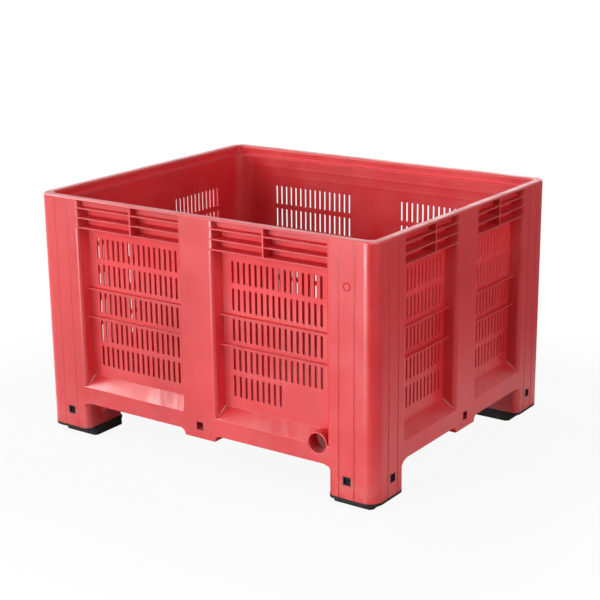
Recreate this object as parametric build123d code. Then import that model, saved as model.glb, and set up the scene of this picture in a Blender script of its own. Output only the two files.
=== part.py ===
from build123d import *
import os
from math import atan2, cos, pi, sin, sqrt, tan

# Overall size: X along the long sides, Y along the short sides, Z up from the ground
length = 1200.0
width = 1000.0
height = 760.0
corner_radius = 40.0
wall = 5.0

# Rim, and the ledge inside it that the soles of a tub above stand on
rim_width = 28.0
rim_thickness = 6.0
rim_chamfer = 3.5
mouth_chamfer = 4.5
mouth_corner_radius = 22.0
ledge_drop = 27.0

# Flush hollow posts, with recessed panels between them
corner_post = 156.0
mid_post = 124.0
recess_depth = 40.0
recess_lean = 6.0
post_edge_radius = 14.0
edge_run_out = 0.05
inner_corner_radius = 60.0

# Ribs across the recesses, and the web that stands in the pockets under the rim
rib = 4.0
pocket_ribs = 3
pocket_pitch = 29.5
panel_rib_depth = 17.0
web = 6.0
web_offset = 15.0

# Ventilation slots in the panels
slot_width = 8.0
slot_height = 65.0
slot_pitch = 20.0
row_gap = 15.0
ribbed_row_gap = 24.0
slot_margin = 15.0
long_side_columns = 16
short_side_columns = 12
drain_side_columns = 9

# Skirt, sloped sills over it, and the ribbed floor
skirt_bottom = 117.0
skirt_height = 52.0
sill_rise = 32.0
floor_rise = 26.0
floor_thickness = 6.0
floor_ribs = 3

# Boss under each mid post, with its window
boss_width = 110.0
boss_drop = 19.0
boss_window = 24.5
boss_window_rise = 18.0

# Hollow feet below the corner posts
foot_edge_radius = 24.0
foot_back_radius = 12.0
foot_cove = 18.0
gusset_leg = 75.0
gusset_depth = 58.0
groove_width = 4.0
groove_depth = 1.2
groove_spacing = 49.4
groove_top_gap = 14.0

# Drain tube in the front
drain_bore = 57.0
drain_wall = 4.0
drain_from_post = 33.0
drain_rise = 55.0
drain_setback = 2.0

# Foot pads: a flange under the foot, a sole below it and a spigot up inside the foot
sole_height = 22.0
sole_corner_radius = 14.0
sole_setback = 1.0
nesting_gap = 2.0
flange_thickness = 8.0
flange_overhang = 3.0
spigot_height = 75.0
pad_wall = 5.0
pad_fit = 0.5

# Square plugs that lock the spigots in the feet
plug_size = 25.5
plug_fit = 0.3
plug_from_corner = 91.0
plug_rise = 52.5
plug_wall = 3.5
plug_core_depth = 8.0
plug_stub = 5.0
plug_stub_setback = 2.0
plug_tail = 6.0
plug_barb = 1.2
plug_slot = 10.0

# How far a cutting shape runs past the face that it opens
beyond = 10.0

# Heights above the ground that follow from the sizes
rim_bottom = height - rim_thickness
ledge_top = height - ledge_drop
pocket_rib_heights = [ledge_top - rib / 2 - i * pocket_pitch for i in range(pocket_ribs)]
panel_top = pocket_rib_heights[-1] - rib / 2
sill_front = skirt_bottom + skirt_height
sill_back = sill_front + sill_rise
sill_slope = sill_rise / recess_depth
floor_top = skirt_bottom + floor_rise
floor_bottom = floor_top - floor_thickness
foot_bottom = sole_height + flange_thickness
plug_height = foot_bottom + plug_rise

# Slot rows stand on either side of the panel's middle, with a rib in each wider gap
row_middle = (sill_back + panel_top) / 2
ribbed_step = slot_height + ribbed_row_gap
outer_step = ribbed_step + slot_height + row_gap
row_room = (panel_top - sill_back - slot_height) / 2 - slot_margin
all_steps = (-outer_step, -ribbed_step, 0, ribbed_step, outer_step)
row_steps = [step for step in all_steps if abs(step) <= row_room]
panel_rib_heights = [row_middle - ribbed_step / 2, row_middle + ribbed_step / 2]

# Depths inward from the outer face
inner_face = recess_depth + wall
lip_back = rim_width - wall


def block(x_limits, y_limits, z_limits):
    """A box between three pairs of limits."""
    limits = (x_limits, y_limits, z_limits)
    centre = [(low + high) / 2 for low, high in limits]
    return Pos(*centre) * Box(*[high - low for low, high in limits])


def prism(plan, bottom, top):
    """A plan stood up between two heights."""
    return extrude(Pos(0, 0, bottom) * plan, top - bottom)


def inward(profile, start, end):
    """A profile drawn in X and Z, carried along Y."""
    return extrude(Pos(0, start, 0) * (Plane.XZ * profile), end - start, dir=(0, 1, 0))


def across(profile, start, end):
    """A profile drawn in Y and Z, carried along X."""
    return extrude(Pos(start, 0, 0) * (Plane.YZ * profile), end - start, dir=(1, 0, 0))


def polygon(*points):
    """A face with straight edges through the points."""
    return make_face(Polyline(*points, close=True))


def round_at(plan, x, y, radius):
    """Round the corner of a plan that lies nearest to a point."""
    return fillet(plan.vertices().sort_by_distance((x, y, 0))[0], radius)


def flat_at(plan, x, y, radius):
    """Cut the corner nearest to a point by a flat that touches a rounding of that radius."""
    return chamfer(plan.vertices().sort_by_distance((x, y, 0))[0], (2 - sqrt(2)) * radius)


def inside(radius):
    """Radius on the hollow side of a rounded wall."""
    return max(radius - wall, wall / 4)


def body_plan(inset, radius):
    """Rounded rectangle at a depth inside the outer faces."""
    return RectangleRounded(length - 2 * inset, width - 2 * inset, radius)


def corner_square(near, far, outer_radius, edge_radius, back_radius, ease=flat_at):
    """Square plan in a corner, its sides at two distances from both outer faces."""
    middle = (near + far) / 2
    plan = Pos(middle, middle) * Rectangle(far - near, far - near)
    plan = flat_at(plan, far, far, back_radius)
    for x, y in ((far, near), (near, far)):
        plan = ease(plan, x, y, edge_radius)
    return ease(plan, near, near, outer_radius)


def both_faces(shape):
    """A shape on one outer face of a corner, and its twin on the other face."""
    return [shape, mirror(shape, about=Plane((0, 0, 0), z_dir=(1, -1, 0)))]


def recess_plan(panel, rounded):
    """Plan of a recess: rounded or twice bevelled post edges, leaning flanks and a flat back."""
    half = panel / 2
    lean = atan2(recess_lean, recess_depth + edge_run_out)
    run = post_edge_radius * tan(pi / 4 - lean / 2)
    mouth = (half + run, -edge_run_out)
    flank = (half - run * sin(lean), run * cos(lean) - edge_run_out)
    back = (half - recess_lean, recess_depth)
    edge = TangentArc(mouth, flank, tangent=(-1, 0))
    if not rounded:
        edge = Polyline(mouth, edge @ 0.5, flank)
    side = edge + Line(flank, back)
    ends = Line(back, (-back[0], back[1])) + Line(mouth, (-mouth[0], mouth[1]))
    return make_face(side + mirror(side, about=Plane.YZ) + ends)


def panel_cutter(panel):
    """What one panel takes out of a side: the recess, and the pockets under the rim."""
    through = (-beyond, recess_depth + beyond)
    span = (-panel, panel)
    cutter = prism(recess_plan(panel, True), skirt_bottom, panel_top)
    cutter += prism(recess_plan(panel, False), panel_top + rib, rim_bottom)
    sill = polygon(
        (-beyond, skirt_bottom - beyond),
        (-beyond, sill_front - sill_slope * beyond),
        (recess_depth + beyond, sill_back + sill_slope * beyond),
        (recess_depth + beyond, skirt_bottom - beyond),
    )
    kept = [across(sill, *span)]
    kept += [block(span, through, (z - rib / 2, z + rib / 2)) for z in pocket_rib_heights]
    rib_limits = (recess_depth - panel_rib_depth, recess_depth + beyond)
    kept += [block(span, rib_limits, (z - rib / 2, z + rib / 2)) for z in panel_rib_heights]
    kept.append(block((-web_offset - web / 2, -web_offset + web / 2), through, (panel_top, height)))
    kept.append(block(span, (lip_back, recess_depth + beyond), (ledge_top, height)))
    return cutter - kept


def slot_cutters(panel, columns, bottom_row_columns):
    """Slots of one panel, in columns counted from the mid post."""
    room = panel / 2 - recess_lean - slot_margin - slot_width / 2
    through = (recess_depth - wall, inner_face + wall)
    slots = []
    for step in row_steps:
        low = row_middle + step - slot_height / 2
        count = bottom_row_columns if step == min(row_steps) else columns
        for i in range(count):
            x = (i - (columns - 1) / 2) * slot_pitch
            if abs(x) <= room:
                limits = (x - slot_width / 2, x + slot_width / 2)
                slots.append(block(limits, through, (low, low + slot_height)))
    return slots


def corner_hollow():
    """Plan of the hollow in a corner post, between its outer walls and the tub's inner wall."""
    end = corner_post - wall
    back = recess_depth
    back_end = end + recess_lean
    plan = polygon((wall, wall), (end, wall), (back_end, back), (back, back), (back, back_end), (wall, end))
    plan = flat_at(plan, back, back, inner_corner_radius + wall)
    plan = flat_at(plan, end, wall, inside(post_edge_radius))
    plan = flat_at(plan, wall, end, inside(post_edge_radius))
    return flat_at(plan, wall, wall, inside(corner_radius))


def mid_hollow():
    """Plan of the hollow in a mid post."""
    half = mid_post / 2 - wall
    back = half + recess_lean
    plan = polygon((-half, wall), (half, wall), (back, recess_depth), (-back, recess_depth))
    plan = flat_at(plan, half, wall, inside(post_edge_radius))
    return flat_at(plan, -half, wall, inside(post_edge_radius))


def cove():
    """Hollow-curved fillet, in two flats, between the skirt's lower edge and the rounded edge of a foot."""
    lap = wall / 2
    middle = foot_cove * (1 - sqrt(1 / 2))
    profile = polygon(
        (foot_edge_radius - lap, skirt_bottom - foot_cove),
        (foot_edge_radius, skirt_bottom - foot_cove),
        (foot_edge_radius + middle, skirt_bottom - middle),
        (foot_edge_radius + foot_cove, skirt_bottom),
        (foot_edge_radius + foot_cove, skirt_bottom + lap),
        (foot_edge_radius - lap, skirt_bottom + lap),
    )
    axis_x = corner_post - foot_edge_radius
    turned = Rot(0, 0, -90) * revolve(Plane.XZ * profile, Axis.Z, 90)
    turned = Pos(axis_x, foot_edge_radius, 0) * turned
    turned &= block((0, length), (0, width), (0, height))
    return turned + inward(Pos(axis_x, 0) * profile, foot_edge_radius, inner_face)


def corner_additions():
    """Foot column, the coves from the skirt to it and the gussets below the floor."""
    plan = corner_square(0, corner_post, corner_radius, foot_edge_radius, foot_back_radius, round_at)
    foot = prism(plan, foot_bottom, floor_bottom)
    lap = wall / 2
    gusset = polygon(
        (corner_post - lap, floor_bottom + lap),
        (corner_post + gusset_leg + lap, floor_bottom + lap),
        (corner_post - lap, floor_bottom - gusset_leg - lap),
    )
    plate = inward(gusset, gusset_depth, gusset_depth + wall)
    return [foot] + both_faces(cove()) + both_faces(plate)


def corner_core():
    """Hollow of a corner post and its foot, open at the bottom."""
    radii = (inside(corner_radius), inside(foot_edge_radius), inside(foot_back_radius))
    foot = corner_square(wall, corner_post - wall, *radii)
    hollow = prism(corner_hollow(), floor_bottom - wall, ledge_top - rib)
    return hollow + prism(foot, foot_bottom - beyond, floor_bottom)


def plug_window(size, depth):
    """Cut for a plug, from the outer face inward."""
    return inward(Pos(plug_from_corner, plug_height) * Rectangle(size, size), -beyond, depth)


def corner_face_cuts():
    """Plug window and the two grooves on one face of a corner post and its foot."""
    cuts = [plug_window(plug_size + 2 * plug_fit, 2 * wall)]
    for side in (-1, 1):
        x = plug_from_corner + side * groove_spacing / 2
        limits = (x - groove_width / 2, x + groove_width / 2)
        cuts.append(block(limits, (-beyond, groove_depth), (foot_bottom - beyond, height - groove_top_gap)))
    return cuts


def boss_profile():
    """Front view of the boss under a mid post, flared into the skirt."""
    half = boss_width / 2
    foot = (half, skirt_bottom - boss_drop)
    flare = (half + boss_drop, skirt_bottom)
    top = (flare[0], skirt_bottom + wall)
    side = TangentArc(foot, flare, tangent=(0, 1)) + Line(flare, top)
    ends = Line(foot, (-foot[0], foot[1])) + Line(top, (-top[0], top[1]))
    return make_face(side + mirror(side, about=Plane.YZ) + ends)


def side_cuts(run, side_place):
    """Panels, mid post hollow and sill channels of one side, set in place."""
    panel = run / 2 - corner_post - mid_post / 2
    centre = (mid_post + panel) / 2
    panel_tool = Pos(centre, 0, 0) * panel_cutter(panel)
    sill_depth = wall * sqrt(1 + sill_slope**2)
    channel = polygon(
        (wall, skirt_bottom - beyond),
        (recess_depth, skirt_bottom - beyond),
        (recess_depth, sill_back - sill_depth),
        (wall, sill_front + sill_slope * wall - sill_depth),
    )
    half_channel = panel / 2 - recess_lean
    channel_tool = across(channel, centre - half_channel, centre + half_channel)
    boss_half = boss_width / 2 - wall
    boss_levels = (skirt_bottom - boss_drop - beyond, skirt_bottom)
    post_tool = block((-boss_half, boss_half), (wall, recess_depth), boss_levels)
    post_tool += prism(mid_hollow(), skirt_bottom, ledge_top - rib)
    tools = [panel_tool, channel_tool, post_tool]
    tools += [mirror(panel_tool, about=Plane.YZ), mirror(channel_tool, about=Plane.YZ)]
    return [side_place * tool for tool in tools]


def side_slots(run, columns, side_place, right_bottom_columns):
    """Slots of both panels of one side, set in place."""
    panel = run / 2 - corner_post - mid_post / 2
    centre = (mid_post + panel) / 2
    on_right = Pos(centre, 0, 0)
    right = [on_right * slot for slot in slot_cutters(panel, columns, right_bottom_columns)]
    left = [on_right * slot for slot in slot_cutters(panel, columns, columns)]
    left = [mirror(slot, about=Plane.YZ) for slot in left]
    return [side_place * slot for slot in right + left]


# Frames of the four sides and the four corners
side_places = [Rot(0, 0, 90 * i) * Pos(0, -(width, length)[i % 2] / 2, 0) for i in range(4)]
side_runs = [(length, width)[i % 2] for i in range(4)]
side_columns = [(long_side_columns, short_side_columns)[i % 2] for i in range(4)]
corner_places = {
    "front_left": Pos(-length / 2, -width / 2, 0),
    "front_right": Pos(length / 2, -width / 2, 0) * Rot(0, 0, 90),
    "back_right": Pos(length / 2, width / 2, 0) * Rot(0, 0, 180),
    "back_left": Pos(-length / 2, width / 2, 0) * Rot(0, 0, 270),
}
front = side_places[0]


def tub_body():
    """The whole moulding."""
    tub = prism(body_plan(0, corner_radius), skirt_bottom, height)
    tub -= prism(body_plan(rim_width, mouth_corner_radius), ledge_top, height + beyond)
    tub -= prism(body_plan(inner_face, inner_corner_radius), floor_top, height)
    tub = chamfer(tub.faces().sort_by(Axis.Z)[-1].outer_wire().edges(), rim_chamfer)
    tub = chamfer(tub.faces().sort_by(Axis.Z)[-1].inner_wires()[0].edges(), mouth_chamfer)

    # Open space below the floor, with ribs across it both ways
    space = prism(body_plan(inner_face, inner_corner_radius), skirt_bottom - beyond, floor_bottom)
    rib_levels = (skirt_bottom - 2 * beyond, floor_top)
    rib_steps = [(i + 1) / (floor_ribs + 1) - 1 / 2 for i in range(floor_ribs)]
    for step in rib_steps:
        x = step * (length - 2 * inner_face)
        y = step * (width - 2 * inner_face)
        space -= block((x - rib / 2, x + rib / 2), (-width, width), rib_levels)
        space -= block((-length, length), (y - rib / 2, y + rib / 2), rib_levels)
    tub -= space

    # Feet, and the bosses under the mid posts
    additions = [place * shape for place in corner_places.values() for shape in corner_additions()]
    additions += [place * inward(boss_profile(), 0, inner_face) for place in side_places]
    tub += additions

    # Recesses, pockets and the hollows behind the outer walls
    cuts = [place * corner_core() for place in corner_places.values()]
    for run, place in zip(side_runs, side_places):
        cuts += side_cuts(run, place)
    tub -= cuts

    # Drain tube, from just inside the face to the inside of the tub
    drain_x = length / 2 - corner_post - drain_from_post
    drain_centre = Pos(drain_x, skirt_bottom + drain_rise)
    tube_radius = drain_bore / 2 + drain_wall
    tub += front * inward(drain_centre * Circle(tube_radius), drain_setback, recess_depth + wall / 2)
    cuts = [front * inward(drain_centre * Circle(tube_radius), -beyond, drain_setback)]
    cuts.append(front * inward(drain_centre * Circle(drain_bore / 2), -beyond, inner_face + beyond))

    # Windows and grooves
    window = Pos(0, skirt_bottom + boss_window_rise) * Rectangle(boss_window, boss_window)
    cuts += [place * inward(window, -beyond, 2 * wall) for place in side_places]
    for place in corner_places.values():
        for shape in corner_face_cuts():
            cuts += [place * twin for twin in both_faces(shape)]

    # Slots: one panel has a shorter bottom row, beside the drain
    for i, place in enumerate(side_places):
        bottom_columns = drain_side_columns if i == 0 else side_columns[i]
        cuts += side_slots(side_runs[i], side_columns[i], place, bottom_columns)
    return tub - cuts


def foot_pad():
    """One pad, in the frame of its corner."""
    flange_far = corner_post + flange_overhang
    flange_edge = foot_edge_radius + flange_overhang
    flange_plan = corner_square(0, flange_far, corner_radius, flange_edge, foot_back_radius, round_at)
    flange = prism(flange_plan, sole_height, foot_bottom)
    sole_near = rim_width + nesting_gap
    sole_far = flange_far - sole_setback
    sole = prism(corner_square(sole_near, sole_far, *3 * [sole_corner_radius]), 0, sole_height)
    near = wall + pad_fit
    far = corner_post - near
    radii = (inside(corner_radius), inside(foot_edge_radius), inside(foot_back_radius))
    spigot_top = foot_bottom + spigot_height
    spigot = prism(corner_square(near, far, *radii), foot_bottom, spigot_top)
    core_near = near + pad_wall
    core_far = far - pad_wall
    core = corner_square(core_near, core_far, *[max(radius - pad_wall, pad_wall) for radius in radii])
    sole_core = corner_square(sole_near + pad_wall, core_far, *3 * [sole_corner_radius - pad_wall])
    cuts = prism(core, foot_bottom, spigot_top + beyond) + prism(sole_core, pad_wall, foot_bottom)
    socket = plug_window(plug_size + 2 * plug_fit, core_near + plug_fit)
    return flange + [sole, spigot] - [cuts] - both_faces(socket)


def lock_plug():
    """One plug on the first face of its corner, flush with the foot and barbed behind the spigot."""
    half = plug_size / 2
    seat = wall + pad_fit + pad_wall + plug_fit
    end = seat + plug_tail
    barb = half + plug_fit + plug_barb
    core = half - plug_wall
    body = inward(Rectangle(plug_size, plug_size), 0, seat)
    outline = polygon((seat, plug_slot / 2), (end, plug_slot / 2), (end, half), (seat, barb))
    leg = across(outline, -core, core)
    plug = body + [leg, mirror(leg, about=Plane.XY)]
    recess = inward(Rectangle(2 * core, 2 * core), -beyond, plug_core_depth)
    recess -= inward(Rectangle(plug_stub, plug_stub), plug_stub_setback, plug_core_depth)
    return Pos(plug_from_corner, 0, plug_height) * (plug - recess)


os.makedirs("parts", exist_ok=True)
nodes = {"tub_body": tub_body()}
pad = foot_pad()
plugs = both_faces(lock_plug())
for corner, place in corner_places.items():
    nodes["foot_pad_" + corner] = place * pad
    on_end = corner in ("front_right", "back_left")
    for face, plug in zip(("end", "side") if on_end else ("side", "end"), plugs):
        nodes["lock_plug_" + corner + "_" + face] = place * plug
for name, shape in nodes.items():
    export_step(shape, "parts/" + name + ".step")
    print(name, len(shape.solids()), round(shape.volume))
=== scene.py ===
from functools import reduce
from math import cos, hypot, pi, radians, sin

import bmesh
import bpy
from mathutils import Matrix, Vector


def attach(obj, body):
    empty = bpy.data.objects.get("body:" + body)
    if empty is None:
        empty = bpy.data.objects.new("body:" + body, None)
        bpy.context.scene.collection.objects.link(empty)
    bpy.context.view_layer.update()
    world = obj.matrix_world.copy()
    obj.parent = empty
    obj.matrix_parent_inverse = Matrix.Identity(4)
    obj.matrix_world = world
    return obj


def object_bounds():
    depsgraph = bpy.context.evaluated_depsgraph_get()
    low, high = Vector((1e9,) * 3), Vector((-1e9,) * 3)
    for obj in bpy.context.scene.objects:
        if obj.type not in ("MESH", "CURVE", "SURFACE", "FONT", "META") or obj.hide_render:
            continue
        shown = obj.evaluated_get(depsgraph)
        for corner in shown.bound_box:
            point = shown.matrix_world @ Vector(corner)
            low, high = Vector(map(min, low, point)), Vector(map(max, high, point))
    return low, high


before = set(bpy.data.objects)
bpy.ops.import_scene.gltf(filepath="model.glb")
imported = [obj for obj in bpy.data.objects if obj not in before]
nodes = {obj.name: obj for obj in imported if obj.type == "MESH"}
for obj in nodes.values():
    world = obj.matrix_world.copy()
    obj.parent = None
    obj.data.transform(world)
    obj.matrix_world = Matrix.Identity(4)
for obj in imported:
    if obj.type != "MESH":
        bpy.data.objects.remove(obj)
cad_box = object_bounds()
scene = bpy.context.scene
scene.view_settings.view_transform = "Standard"

# Sizes of the tub in metres: X along the long sides, Y along the short sides, Z up from the ground
HALF_LENGTH, HALF_WIDTH, HEIGHT = cad_box[1]
WALL = 0.005
RECESS_DEPTH = 0.040
PANEL_X = HALF_LENGTH - RECESS_DEPTH
PANEL_Y = HALF_WIDTH - RECESS_DEPTH
SILL_RISE = 0.032
SILL_NORMAL_Z = RECESS_DEPTH / hypot(RECESS_DEPTH, SILL_RISE)
RIB_HEIGHTS = (0.391, 0.480, 0.672, 0.7015)
SLOTS_FROM, SLOTS_TO = 0.205, 0.668
SHORTEST_GROOVE = 0.60

# Small forms that the solids leave out
SLOT_END_RADIUS = 0.0034
GROOVE_FLAT = 0.0011
TUB_EDGE_RADIUS = 0.0020
PAD_EDGE_RADIUS = 0.0015

# Edges that bend by more than this show as edges, and vertices nearer than this are one
SHARP_ANGLE = radians(32)
WELD_DISTANCE = 0.00001

# Ring mark on the right-hand front post
RING_FROM_CORNER = 0.090
RING_FROM_TOP = 0.128
RING_RADIUS = 0.0103
RING_HALF_LINE = 0.0013
RING_STAND = 0.0008
RING_SUNK = 0.0004
RING_STEPS = 48

# Fillets where the flanks of the recesses meet their sills
FILLET_RADIUS = 0.0038
FILLET_LEAST_RADIUS = 0.0003
FILLET_RUN_OUT = 0.004
FILLET_OVERLAP = 0.001
FILLET_SUNK = 0.0006
FILLET_STEPS = 6

# Reds of the tub: the melt's own, where it is scuffed or dusty, and a fuller red painted high in the
# recesses as the shade there that keeps the gloss off
DEEP_RED = (0.50, 0.010, 0.015)
MAIN_RED = (0.60, 0.016, 0.022)
CLOUD_RED = (0.66, 0.032, 0.037)
SPECK_RED = (0.40, 0.008, 0.012)
SCUFF_RED = (0.74, 0.22, 0.21)
DUST_RED = (0.42, 0.17, 0.15)
RECESS_SHADE_RED = (0.68, 0.010, 0.016)

# Darker reds of the ring mark, painted as the shade on its sides
RING_SHADE_REDS = ((0.36, 0.004, 0.007), (0.44, 0.007, 0.010))

# Blacks of the pads and plugs, from clean to dusty
PAD_BLACKS = ((0.011, 0.007, 0.008), (0.026, 0.018, 0.019))
PLUG_BLACKS = ((0.008, 0.007, 0.008), (0.020, 0.018, 0.019))

# Floor: its reach, and how white it is in the gloss of the tub
FLOOR_REACH = 14.0
SHINE_RIGHT = 0.54
SHINE_FRONT_LEFT = 0.90
SHINE_STRENGTH = 1.35

# Panels of light: bearing from +Y towards +X, half width, lower and upper edge in degrees, and strength
LIGHT_PANELS = {
    "front": (205, 27, -5, 26, 7.3),
    "high left": (251, 34, 28, 62, 2.5),
    "right": (105, 11, -5, 45, 4.8),
    "rear right": (68, 20, -5, 45, 1.3),
    "left": (262, 22, -5, 28, 1.0),
    "rear left": (315, 22, -5, 26, 1.0),
    "rear": (354, 26, -5, 22, 1.6),
}
LIGHT_SOFT_EDGE = radians(3)
ROOM_SHINE = 0.5


# Node trees
class Tree:
    """A node tree under construction."""

    def __init__(self, tree):
        self.tree = tree

    def node(self, kind, **settings):
        """A new node with its settings."""
        made = self.tree.nodes.new(kind)
        for name, value in settings.items():
            setattr(made, name, value)
        return made

    def put(self, socket, value):
        """A link or a plain value on a socket."""
        if isinstance(value, bpy.types.NodeSocket):
            self.tree.links.new(value, socket)
        else:
            socket.default_value = value

    def fill(self, made, **inputs):
        """Values or links on a node's inputs, whose names have _ for a space."""
        for name, value in inputs.items():
            self.put(made.inputs[name.replace("_", " ")], value)
        return made

    def fill_in_order(self, made, *values):
        """Values or links on a node's first inputs."""
        for socket, value in zip(made.inputs, values):
            self.put(socket, value)
        return made

    def math(self, operation, *values, clamp=False):
        """A number worked out from others."""
        made = self.node("ShaderNodeMath", operation=operation, use_clamp=clamp)
        return self.fill_in_order(made, *values).outputs[0]

    def total(self, *values):
        """The sum of all values."""
        return reduce(lambda first, second: self.math("ADD", first, second), values)

    def product(self, *values):
        """The product of all values."""
        return reduce(lambda first, second: self.math("MULTIPLY", first, second), values)

    def axes(self, vector):
        """X, Y and Z of a vector."""
        return self.fill_in_order(self.node("ShaderNodeSeparateXYZ"), vector).outputs


class Graph(Tree):
    """The shader nodes of a material or a world under construction."""

    def __init__(self, owner):
        owner.use_nodes = True
        super().__init__(owner.node_tree)
        self.tree.nodes.clear()

    def shader(self, kind, **inputs):
        """A new shader node with values or links on its inputs."""
        return self.fill(self.node("ShaderNode" + kind), **inputs)

    def ramp(self, value, low, high, to_low=0.0, to_high=1.0):
        """A value mapped smoothly from one range to another."""
        made = self.node("ShaderNodeMapRange", interpolation_type="SMOOTHSTEP")
        self.fill(made, Value=value, From_Min=low, From_Max=high, To_Min=to_low, To_Max=to_high)
        return made.outputs["Result"]

    def rest(self, share):
        """What a share leaves of 1."""
        return self.math("SUBTRACT", 1.0, share)

    def distance(self, x, y):
        """How far a point of a plane is from its origin."""
        return self.math("SQRT", self.total(self.product(x, x), self.product(y, y)))


class Plastic(Graph):
    """A plastic under construction."""

    def __init__(self, name, specular, ior=1.5):
        self.material = bpy.data.materials.new(name)
        super().__init__(self.material)
        self.surface = self.shader("BsdfPrincipled", Specular_IOR_Level=specular, IOR=ior)
        self.shader("OutputMaterial", Surface=self.surface.outputs["BSDF"])
        self.place = self.shader("TexCoord").outputs["Object"]

    def noise(self, scale, detail=2.0, roughness=0.5, stretch=(1, 1, 1), shift=(0, 0, 0), distortion=0.0):
        """Noise in metres, from 0 to 1."""
        place = self.shader("Mapping", Vector=self.place, Scale=stretch, Location=shift)
        made = self.shader("TexNoise", Vector=place.outputs["Vector"], Scale=scale, Detail=detail,
                           Roughness=roughness, Distortion=distortion)
        return made.outputs["Fac"]

    def mix(self, share, first, second):
        """A colour between two colours."""
        # The node's colour sockets share their names with other sockets, so they go by number
        made = self.node("ShaderNodeMix", data_type="RGBA")
        self.put(made.inputs["Factor"], share)
        for socket, colour in zip((made.inputs[6], made.inputs[7]), (first, second)):
            self.put(socket, colour if isinstance(colour, bpy.types.NodeSocket) else (*colour, 1))
        return made.outputs[2]

    def in_box(self, x, y, half_x, half_y):
        """1 inside an upright box about the middle, 0 outside."""
        return self.product(self.math("LESS_THAN", self.math("ABSOLUTE", x), half_x),
                            self.math("LESS_THAN", self.math("ABSOLUTE", y), half_y))

    def rounding(self, radius):
        """Normal with moulded roundings along all edges, too small for the mesh."""
        made = self.shader("Bevel", Radius=radius)
        made.samples = 6
        return made.outputs["Normal"]

    def bump(self, normal, height, distance, strength):
        """A normal bent by a height."""
        made = self.shader("Bump", Normal=normal, Height=height, Distance=distance, Strength=strength)
        return made.outputs["Normal"]


class Shape(Tree):
    """A geometry node group under construction, from one geometry to another."""

    def __init__(self, name):
        super().__init__(bpy.data.node_groups.new(name, "GeometryNodeTree"))
        for way in ("INPUT", "OUTPUT"):
            self.tree.interface.new_socket("Geometry", in_out=way, socket_type="NodeSocketGeometry")
        self.geometry = self.node("NodeGroupInput").outputs[0]

    def change(self, made, **inputs):
        """Sends the geometry through a node, with values or links on its other inputs."""
        self.geometry = self.fill(made, Geometry=self.geometry, **inputs).outputs["Geometry"]

    def vector_math(self, operation, *values):
        """A vector or a number worked out from vectors."""
        return self.fill_in_order(self.node("ShaderNodeVectorMath", operation=operation), *values).outputs

    def within(self, value, low, high):
        """1 between two limits, 0 beyond them."""
        return self.math("COMPARE", value, (low + high) / 2, (high - low) / 2)

    def mark(self, name, value):
        """Stores a value on the edges under a name."""
        store = self.node("GeometryNodeStoreNamedAttribute", data_type="FLOAT", domain="EDGE")
        self.change(store, Name=name, Value=value)

    def finish(self):
        """The finished group, with the geometry at its output."""
        self.fill_in_order(self.node("NodeGroupOutput"), self.geometry)
        return self.tree


# Plastic of the tub
def melt_colour(red, cloud):
    """Red that drifts with the flow of the melt, with clouds and specks in it."""
    flow = red.noise(scale=2.6, detail=3.0, roughness=0.55, stretch=(1, 1, 0.55), distortion=0.4)
    speck = red.noise(scale=260.0, roughness=0.6)
    colour = red.mix(red.ramp(flow, 0.32, 0.68), DEEP_RED, MAIN_RED)
    colour = red.mix(red.ramp(cloud, 0.35, 0.75, 0.0, 0.22), colour, CLOUD_RED)
    return red.mix(red.ramp(speck, 0.60, 0.80, 0.0, 0.16), colour, SPECK_RED)


def scuffs(red, z):
    """Short strokes, some in patches, and more of them on the rim and low on the feet."""
    upright = red.noise(scale=70.0, detail=3.0, roughness=0.6, stretch=(1, 1, 0.12))
    level = red.noise(scale=64.0, detail=3.0, roughness=0.6, stretch=(0.12, 0.12, 1), shift=(0.4, 0.2, 0.7))
    strokes = red.math("MAXIMUM", red.ramp(upright, 0.66, 0.76), red.ramp(level, 0.67, 0.77))
    patches = red.ramp(red.noise(scale=7.0, shift=(3, 1, 2)), 0.45, 0.70)
    on_rim = red.ramp(z, HEIGHT - 0.008, HEIGHT - 0.001, 0.0, 0.7)
    low_down = red.ramp(z, 0.02, 0.16, 0.55, 0.0)
    share = red.total(red.product(patches, 0.22), on_rim, low_down)
    return red.math("MULTIPLY", strokes, share, clamp=True)


def dust(red, z):
    """Dust on the feet, in clouds that thin out upwards."""
    clouds = red.ramp(red.noise(scale=24.0, detail=4.0, roughness=0.65), 0.38, 0.72)
    return red.product(clouds, red.ramp(z, 0.02, 0.22, 0.30, 0.0))


def painted_recess_shade(red, x, y, z, indoors):
    """1 high in the recesses, where a fuller, rougher red is painted as the shade of the ribs and rim,
    which keeps the whitish gloss off there.
    """
    shaded_depth = 0.012
    behind_mouth = red.in_box(x, y, HALF_LENGTH - shaded_depth, HALF_WIDTH - shaded_depth)
    recessed = red.product(behind_mouth, red.rest(indoors))
    high_up = red.product(red.ramp(z, 0.42, 0.60), red.ramp(z, HEIGHT - 0.030, HEIGHT - 0.018, 1.0, 0.0))
    return red.product(recessed, high_up)


def sill_streaks(red, x, y, z):
    """Leaning streaks of uneven cooling on the sloped sills, as a height."""
    inner_face = PANEL_Y - WALL
    on_long_side = red.math("GREATER_THAN", red.math("ABSOLUTE", y), inner_face - 0.0005)
    along = red.total(red.product(x, on_long_side), red.product(y, red.rest(on_long_side)))
    lean = red.shader("CombineXYZ", X=red.total(along, red.product(z, 0.8)), Y=red.product(z, 0.7))
    streak = red.node("ShaderNodeTexNoise", noise_dimensions="2D")
    red.fill(streak, Vector=lean.outputs["Vector"], Scale=11.0, Detail=2.0, Roughness=0.5)
    slope = red.axes(red.shader("NewGeometry").outputs["True Normal"])["Z"]
    on_sill = red.product(red.ramp(slope, SILL_NORMAL_Z - 0.08, SILL_NORMAL_Z - 0.02),
                          red.ramp(slope, SILL_NORMAL_Z + 0.02, SILL_NORMAL_Z + 0.08, 1.0, 0.0))
    return red.product(streak.outputs["Fac"], on_sill)


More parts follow.
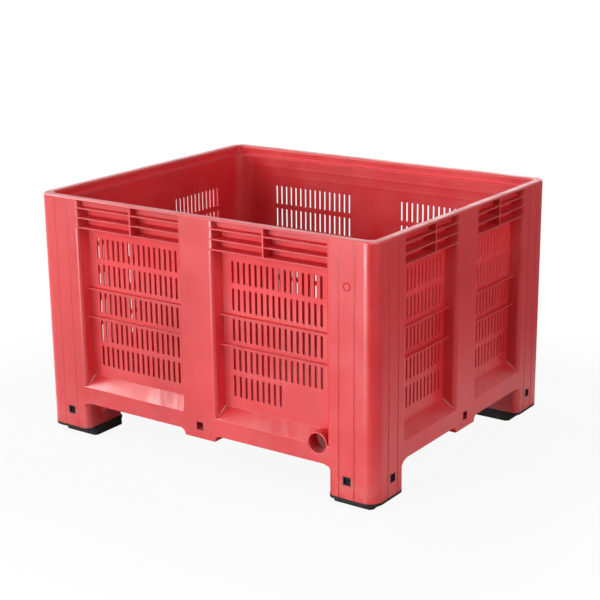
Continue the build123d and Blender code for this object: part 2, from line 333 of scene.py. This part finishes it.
def sink_lines(red, z, indoors):
    """Faint lines on the inside, opposite the ribs, as a height."""
    half_line = 0.009
    lines = []
    for height in RIB_HEIGHTS:
        away = red.math("ABSOLUTE", red.math("SUBTRACT", z, height))
        lines.append(red.ramp(away, 0.0, half_line, 1.0, 0.0))
    return red.product(red.total(*lines), indoors)


def tub_material():
    """Injection-moulded red plastic: satin, slightly wavy, with flow marks, sink lines and light scuffs."""
    red = Plastic("tub_red_plastic", specular=0.65, ior=1.49)
    x, y, z = red.axes(red.place)
    cloud = red.noise(scale=11.0, detail=3.0)
    scuffed = scuffs(red, z)
    dusty = dust(red, z)
    indoors = red.in_box(x, y, PANEL_X - WALL / 2, PANEL_Y - WALL / 2)
    recess_shade = painted_recess_shade(red, x, y, z, indoors)

    colour = melt_colour(red, cloud)
    colour = red.mix(red.product(scuffed, 0.55), colour, SCUFF_RED)
    colour = red.mix(dusty, colour, DUST_RED)
    # Painted shade high in the recesses: a fuller red here, and more roughness below, for the shade of the
    # ribs and rim
    colour = red.mix(red.product(recess_shade, 0.75), colour, RECESS_SHADE_RED)
    roughness = red.total(red.ramp(cloud, 0.25, 0.75, 0.30, 0.42), red.product(scuffed, 0.20),
                          red.product(dusty, 0.5), red.product(recess_shade, 0.36))

    # Slight warp of the walls, fine moulded grain, streaks on the sills, and sink lines opposite the ribs
    normal = red.rounding(TUB_EDGE_RADIUS)
    normal = red.bump(normal, red.noise(scale=8.0, roughness=0.45), distance=0.004, strength=0.35)
    normal = red.bump(normal, red.noise(scale=900.0, roughness=0.6), distance=0.0002, strength=0.35)
    normal = red.bump(normal, sill_streaks(red, x, y, z), distance=0.007, strength=0.6)
    normal = red.bump(normal, sink_lines(red, z, indoors), distance=0.0004, strength=0.6)
    red.fill(red.surface, Base_Color=colour, Roughness=roughness, Normal=normal)
    red.fill(red.surface, Subsurface_Weight=0.35, Subsurface_Scale=0.005,
             Subsurface_Radius=(1.0, 0.22, 0.15))
    return red.material


# Plastics of the small pieces
def pad_material(name, clean, dusty):
    """Black plastic of the pads and plugs, greyed by dust and rubbing."""
    black = Plastic(name, specular=0.18)
    rubbed = tuple(1.9 * c for c in dusty)
    cloud = black.noise(scale=38.0, detail=4.0, roughness=0.6)
    fine = black.noise(scale=420.0, roughness=0.55)
    strokes = black.noise(scale=120.0, detail=3.0, roughness=0.65, stretch=(1, 1, 0.3))
    colour = black.mix(black.ramp(cloud, 0.35, 0.70), clean, dusty)
    colour = black.mix(black.ramp(strokes, 0.62, 0.76, 0.0, 0.45), colour, rubbed)
    normal = black.rounding(PAD_EDGE_RADIUS)
    normal = black.bump(normal, cloud, distance=0.0006, strength=0.4)
    normal = black.bump(normal, fine, distance=0.0002, strength=0.5)
    roughness = black.ramp(cloud, 0.30, 0.75, 0.46, 0.66)
    black.fill(black.surface, Base_Color=colour, Roughness=roughness, Normal=normal)
    return black.material


def ring_shade_material():
    """Matt, darker red of the ring mark, painted as the shade on its sides."""
    red = Plastic("witness_red_plastic", specular=0.1)
    shade_mottle = red.noise(scale=90.0, detail=3.0, roughness=0.6)
    # Both reds are painted shade of the ring's sides, mottled at random
    colour = red.mix(red.ramp(shade_mottle, 0.3, 0.7), *RING_SHADE_REDS)
    roughness = red.ramp(shade_mottle, 0.3, 0.7, 0.55, 0.70)
    red.fill(red.surface, Base_Color=colour, Roughness=roughness)
    return red.material


# Small forms on the solids
def edge_marks():
    """Marks the corner edges of the ventilation slots and the outer edges of the post grooves."""
    marks = Shape("edge_marks")
    ends = marks.node("GeometryNodeInputMeshEdgeVertices").outputs
    apart = marks.vector_math("SUBTRACT", ends["Position 1"], ends["Position 2"])["Vector"]
    run = marks.vector_math("LENGTH", apart)["Value"]
    rise = marks.axes(apart)["Z"]
    height = marks.axes(ends["Position 1"])["Z"]
    bend = marks.node("GeometryNodeInputMeshEdgeAngle").outputs["Signed Angle"]

    # The slots cross the panels level, between the sills and the pockets under the rim
    level = marks.within(rise, -0.0001, 0.0001)
    as_thick = marks.within(run, WALL - 0.0003, WALL + 0.0003)
    marks.mark("slot_end", marks.product(as_thick, level, marks.within(height, SLOTS_FROM, SLOTS_TO)))

    # The grooves run straight up the corner posts, from foot to rim
    steep = marks.math("ABSOLUTE", marks.math("DIVIDE", rise, run))
    upright = marks.within(steep, 0.999, 1.001)
    square = marks.within(bend, radians(80), radians(98))
    marks.mark("groove_edge", marks.product(marks.within(run, SHORTEST_GROOVE, HEIGHT), upright, square))
    return marks.finish()


def crisp_edges():
    """Shades roundings smooth and keeps edges that bend by more than the sharp angle."""
    shading = Shape("crisp_edges")
    bend = shading.node("GeometryNodeInputMeshEdgeAngle").outputs["Unsigned Angle"]
    for domain, smooth in (("FACE", True), ("EDGE", shading.math("LESS_THAN", bend, SHARP_ANGLE))):
        shading.change(shading.node("GeometryNodeSetShadeSmooth", domain=domain), Shade_Smooth=smooth)
    return shading.finish()


def round_marked(node, mark, width, segments):
    """Roundings on a node's marked edges."""
    made = node.modifiers.new(mark, "BEVEL")
    made.limit_method = "WEIGHT"
    made.edge_weight = mark
    made.width = width
    made.segments = segments


def soften(node, crisp):
    """Modifiers that give a node its small roundings and clean shading."""
    node.modifiers.new("weld", "WELD").merge_threshold = WELD_DISTANCE
    if node == nodes["tub_body"]:
        node.modifiers.new("edge_marks", "NODES").node_group = edge_marks()
        round_marked(node, "slot_end", SLOT_END_RADIUS, segments=3)
        round_marked(node, "groove_edge", GROOVE_FLAT, segments=1)
    node.modifiers.new("crisp_edges", "NODES").node_group = crisp
    normals = node.modifiers.new("normals", "WEIGHTED_NORMAL")
    normals.keep_sharp = True
    normals.weight = 80


# Pieces of the scene
def add_object(name, made, material):
    """A new object of one material from a finished bmesh."""
    mesh = bpy.data.meshes.new(name)
    made.to_mesh(mesh)
    made.free()
    mesh.materials.append(material)
    piece = bpy.data.objects.new(name, mesh)
    scene.collection.objects.link(piece)
    return piece


def join_rows(made, row, after, smooth):
    """Faces between two closed rows of vertices, of which those with a number in smooth shade smooth."""
    for j in range(len(row)):
        k = (j + 1) % len(row)
        face = made.faces.new((row[j], row[k], after[k], after[j]))
        face.smooth = j in smooth


def ring_mark(material):
    """Small raised ring, the mark of a mould insert, on the right-hand front post."""
    centre = Vector((HALF_LENGTH - RING_FROM_CORNER, -HALF_WIDTH, HEIGHT - RING_FROM_TOP))
    shoulder = 0.4 * RING_STAND
    half_flat = 0.5 * RING_HALF_LINE
    profile = [(-RING_HALF_LINE, -RING_SUNK), (-RING_HALF_LINE, shoulder), (-half_flat, RING_STAND),
               (half_flat, RING_STAND), (RING_HALF_LINE, shoulder), (RING_HALF_LINE, -RING_SUNK)]
    made = bmesh.new()
    rows = []
    for i in range(RING_STEPS):
        turn = 2 * pi * i / RING_STEPS
        outward = Vector((cos(turn), 0, sin(turn)))
        places = [centre + outward * (RING_RADIUS + r) + Vector((0, -out, 0)) for r, out in profile]
        rows.append([made.verts.new(place) for place in places])
    for row, after in zip(rows, rows[1:] + rows[:1]):
        join_rows(made, row, after, smooth=(1, 2, 3))
    bmesh.ops.recalc_face_normals(made, faces=made.faces)
    piece = add_object("ring_mark", made, material)
    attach(piece, "root")


def sill_edges(tub):
    """Edges between the flanks of the recesses and their sills.

    They are kept by vertex: the vertex at the other end, and the normals of flank and sill.
    """
    links = {}
    for edge in tub.edges:
        if len(edge.link_faces) != 2 or edge.is_convex:
            continue
        flank, sill = sorted((face.normal for face in edge.link_faces), key=lambda normal: normal.z)
        outward = Vector((sill.x, sill.y, 0)).normalized()
        upright = abs(flank.z) < 0.01
        sloped = abs(sill.z - SILL_NORMAL_Z) < 0.004
        # Behind the sill the panel faces outward, and so does the post at the end of its rounding
        sideways = flank.dot(outward) < 0.90
        if upright and sloped and sideways:
            here, there = edge.verts
            links.setdefault(here, []).append((there, flank.copy(), sill.copy()))
            links.setdefault(there, []).append((here, flank.copy(), sill.copy()))
    return links


def sill_corners():
    """Lines where the flanks of the recesses meet their sills, from the panel out to the lip.

    Each has its points, the flank's normal at each point, and the sill's normal.
    """
    tub = bmesh.new()
    tub.from_mesh(nodes["tub_body"].data)
    bmesh.ops.remove_doubles(tub, verts=tub.verts, dist=WELD_DISTANCE)
    tub.normal_update()
    links = sill_edges(tub)
    slack = 0.004
    corners = []
    for start, ways in links.items():
        at_panel = abs(start.co.x) < PANEL_X + slack and abs(start.co.y) < PANEL_Y + slack
        if len(ways) != 1 or not at_panel:
            continue
        line, flanks = [start], []
        while ahead := [link for link in links[line[-1]] if link[0] not in line]:
            line.append(ahead[0][0])
            flanks.append(ahead[0][1])
        points = [vertex.co.copy() for vertex in line]
        normals = [(a + b).normalized() for a, b in zip(flanks[:1] + flanks, flanks + flanks[-1:])]
        corners.append((points, normals, ways[0][2]))
    tub.free()
    return corners


def sill_fillets(material):
    """Fillets along the corners of the sills, running out at the lip."""
    # The drain tube cuts the line at its corner short, and that corner has no fillet
    fewest_points = 5
    made = bmesh.new()
    for points, flanks, sill in sill_corners():
        if len(points) < fewest_points:
            continue
        points[0] += (points[0] - points[1]).normalized() * FILLET_OVERLAP
        spans = [(after - here).length for here, after in zip(points, points[1:])]
        rows = []
        for i, (point, flank) in enumerate(zip(points, flanks)):
            to_end = sum(spans[i:])
            radius = max(FILLET_RADIUS * min(to_end / FILLET_RUN_OUT, 1.0), FILLET_LEAST_RADIUS)
            middle = point + (flank + sill) * (radius / (1 + flank.dot(sill)))
            turns = [flank.slerp(sill, j / FILLET_STEPS) for j in range(FILLET_STEPS + 1)]
            places = [middle - radius * turn for turn in turns]
            places.append(point - (flank + sill).normalized() * FILLET_SUNK)
            rows.append([made.verts.new(place) for place in places])
        for row, after in zip(rows, rows[1:]):
            join_rows(made, row, after, smooth=range(FILLET_STEPS))
        made.faces.new(rows[0])
        made.faces.new(rows[-1][::-1])
    bmesh.ops.recalc_face_normals(made, faces=made.faces)
    for edge in made.edges:
        edge.smooth = all(face.smooth for face in edge.link_faces)
    piece = add_object("sill_fillets", made, material)
    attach(piece, "root")


# Floor and light
def floor_material():
    """White to the camera, with the tub's shadow in it, and glowing white in the tub's gloss as a painted
    reflection.
    """
    material = bpy.data.materials.new("floor_white")
    sheet = Graph(material)
    x, y, _ = sheet.axes(sheet.shader("NewGeometry").outputs["Position"])
    beside = sheet.math("MAXIMUM", sheet.math("SUBTRACT", sheet.math("ABSOLUTE", x), HALF_LENGTH), 0.0)
    before = sheet.math("MAXIMUM", sheet.math("SUBTRACT", sheet.math("ABSOLUTE", y), HALF_WIDTH), 0.0)
    away = sheet.distance(beside, before)
    rays = sheet.shader("LightPath").outputs
    to_camera = sheet.product(rays["Is Camera Ray"], sheet.ramp(away, 0.25, 0.9, 0.92, 1.0))

    # In gloss the floor glows white, a painted reflection, except right beside the tub where it stays matt,
    # and far off it glows only at the front left
    front_left = sheet.ramp(sheet.total(x, y), -0.5, 0.9, 1.0, 0.0)
    near = sheet.product(sheet.ramp(away, 0.0, 0.12), sheet.ramp(away, 0.25, 0.75, 1.0, 0.0),
                         sheet.ramp(front_left, 0.0, 1.0, SHINE_RIGHT, SHINE_FRONT_LEFT))
    far = sheet.product(sheet.ramp(away, 0.25, 0.75), front_left, sheet.ramp(x, 0.78, 1.12, 1.0, 0.0))
    mirrored = sheet.math("MAXIMUM", rays["Is Glossy Ray"], rays["Is Transmission Ray"])
    to_gloss = sheet.product(mirrored, sheet.total(near, far))

    matt = sheet.shader("BsdfDiffuse", Color=sheet.ramp(away, 0.3, 1.2, 0.70, 0.35))
    strength = sheet.ramp(rays["Is Camera Ray"], 0.0, 1.0, SHINE_STRENGTH, 1.0)
    white = sheet.shader("Emission", Strength=strength)
    blend = sheet.shader("MixShader", Fac=sheet.math("MAXIMUM", to_camera, to_gloss))
    sheet.put(blend.inputs[1], matt.outputs["BSDF"])
    sheet.put(blend.inputs[2], white.outputs["Emission"])
    sheet.shader("OutputMaterial", Surface=blend.outputs["Shader"])
    return material


def pale_floor():
    """White sheet under and round the part."""
    made = bmesh.new()
    corners = ((-1, -1), (1, -1), (1, 1), (-1, 1))
    made.faces.new([made.verts.new((FLOOR_REACH * a, FLOOR_REACH * b, 0.0)) for a, b in corners])
    floor = add_object("floor", made, floor_material())


def white_room():
    """White room with soft panels of light. The camera sees it plain white."""
    world = bpy.data.worlds.new("white_room")
    scene.world = world
    room = Graph(world)
    x, y, z = room.axes(room.shader("TexCoord").outputs["Generated"])
    flat = room.distance(x, y)
    rise = room.math("ARCSINE", z)
    rays = room.shader("LightPath").outputs
    light = room.product(rays["Is Glossy Ray"], ROOM_SHINE)
    for *angles, strength in LIGHT_PANELS.values():
        bearing, half, low, high = (radians(angle) for angle in angles)
        along = room.total(room.product(x, sin(bearing)), room.product(y, cos(bearing)))
        turn = room.math("DIVIDE", along, flat)
        across = room.ramp(turn, cos(half + LIGHT_SOFT_EDGE), cos(half - LIGHT_SOFT_EDGE))
        above_low = room.ramp(rise, low - LIGHT_SOFT_EDGE, low + LIGHT_SOFT_EDGE)
        below_high = room.ramp(rise, high - LIGHT_SOFT_EDGE, high + LIGHT_SOFT_EDGE, 1.0, 0.0)
        light = room.total(light, room.product(across, above_low, below_high, strength))
    seen = room.math("MAXIMUM", rays["Is Camera Ray"], rays["Is Transmission Ray"])
    brightness = room.total(room.product(light, room.rest(seen)), seen)
    white = room.shader("Background", Color=(1, 1, 1, 1), Strength=brightness)
    room.shader("OutputWorld", Surface=white.outputs["Background"])


def softbox(name, place, target, size, power):
    """Small lamp panel that only shows as a highlight."""
    light = bpy.data.lights.new(name, "AREA")
    light.shape = "RECTANGLE"
    light.size, light.size_y = size
    light.energy = power
    lamp = bpy.data.objects.new(name, light)
    lamp.location = place
    lamp.rotation_mode = "QUATERNION"
    lamp.rotation_quaternion = (Vector(target) - Vector(place)).to_track_quat("-Z", "Y")
    lamp.visible_camera = False
    lamp.visible_diffuse = False
    scene.collection.objects.link(lamp)


def photo_camera():
    """Camera at the photograph's viewing angle and distance."""
    azimuth, elevation, roll = radians(35.05), radians(16.15), radians(-0.63)
    aim, distance = Vector((0, 0, 0.3818)), 4.49751
    to_right, to_top = 0.00782, 0.01263
    back = Vector((sin(azimuth) * cos(elevation), -cos(azimuth) * cos(elevation), sin(elevation)))
    level = (-back).cross(Vector((0, 0, 1))).normalized()
    upright = level.cross(-back)
    right = cos(roll) * level + sin(roll) * upright
    up = cos(roll) * upright - sin(roll) * level
    optics = bpy.data.cameras.new("camera")
    optics.sensor_width = 36.0
    optics.lens = 86.174
    camera = bpy.data.objects.new("camera", optics)
    place = aim + back * distance + right * to_right + up * to_top
    turn = Matrix((right, up, back)).transposed().to_4x4()
    camera.matrix_world = Matrix.Translation(place) @ turn
    scene.collection.objects.link(camera)
    scene.camera = camera


# The part in its plastics
tub_red = tub_material()
plastics = {
    "tub_body": tub_red,
    "foot_pad": pad_material("pad_black_plastic", *PAD_BLACKS),
    "lock_plug": pad_material("plug_black_plastic", *PLUG_BLACKS),
}
crisp = crisp_edges()
for name, node in nodes.items():
    node.data.materials.clear()
    node.data.materials.append(next(plastics[kind] for kind in plastics if name.startswith(kind)))
    soften(node, crisp)
ring_mark(ring_shade_material())
sill_fillets(tub_red)

# The room round it
pale_floor()
white_room()
softbox("sill_light", place=(-1.40, -0.72, 1.30), target=(-0.38, -0.48, 0.185), size=(0.6, 0.6), power=12)
softbox("corner_light", place=(1.20, -0.90, 2.00), target=(0.0, -0.40, 0.19), size=(1.0, 0.6), power=36)
softbox("edge_light", place=(-0.20, -4.20, 0.30), target=(0.0, -0.5, 0.40), size=(0.40, 0.6), power=105)
photo_camera()
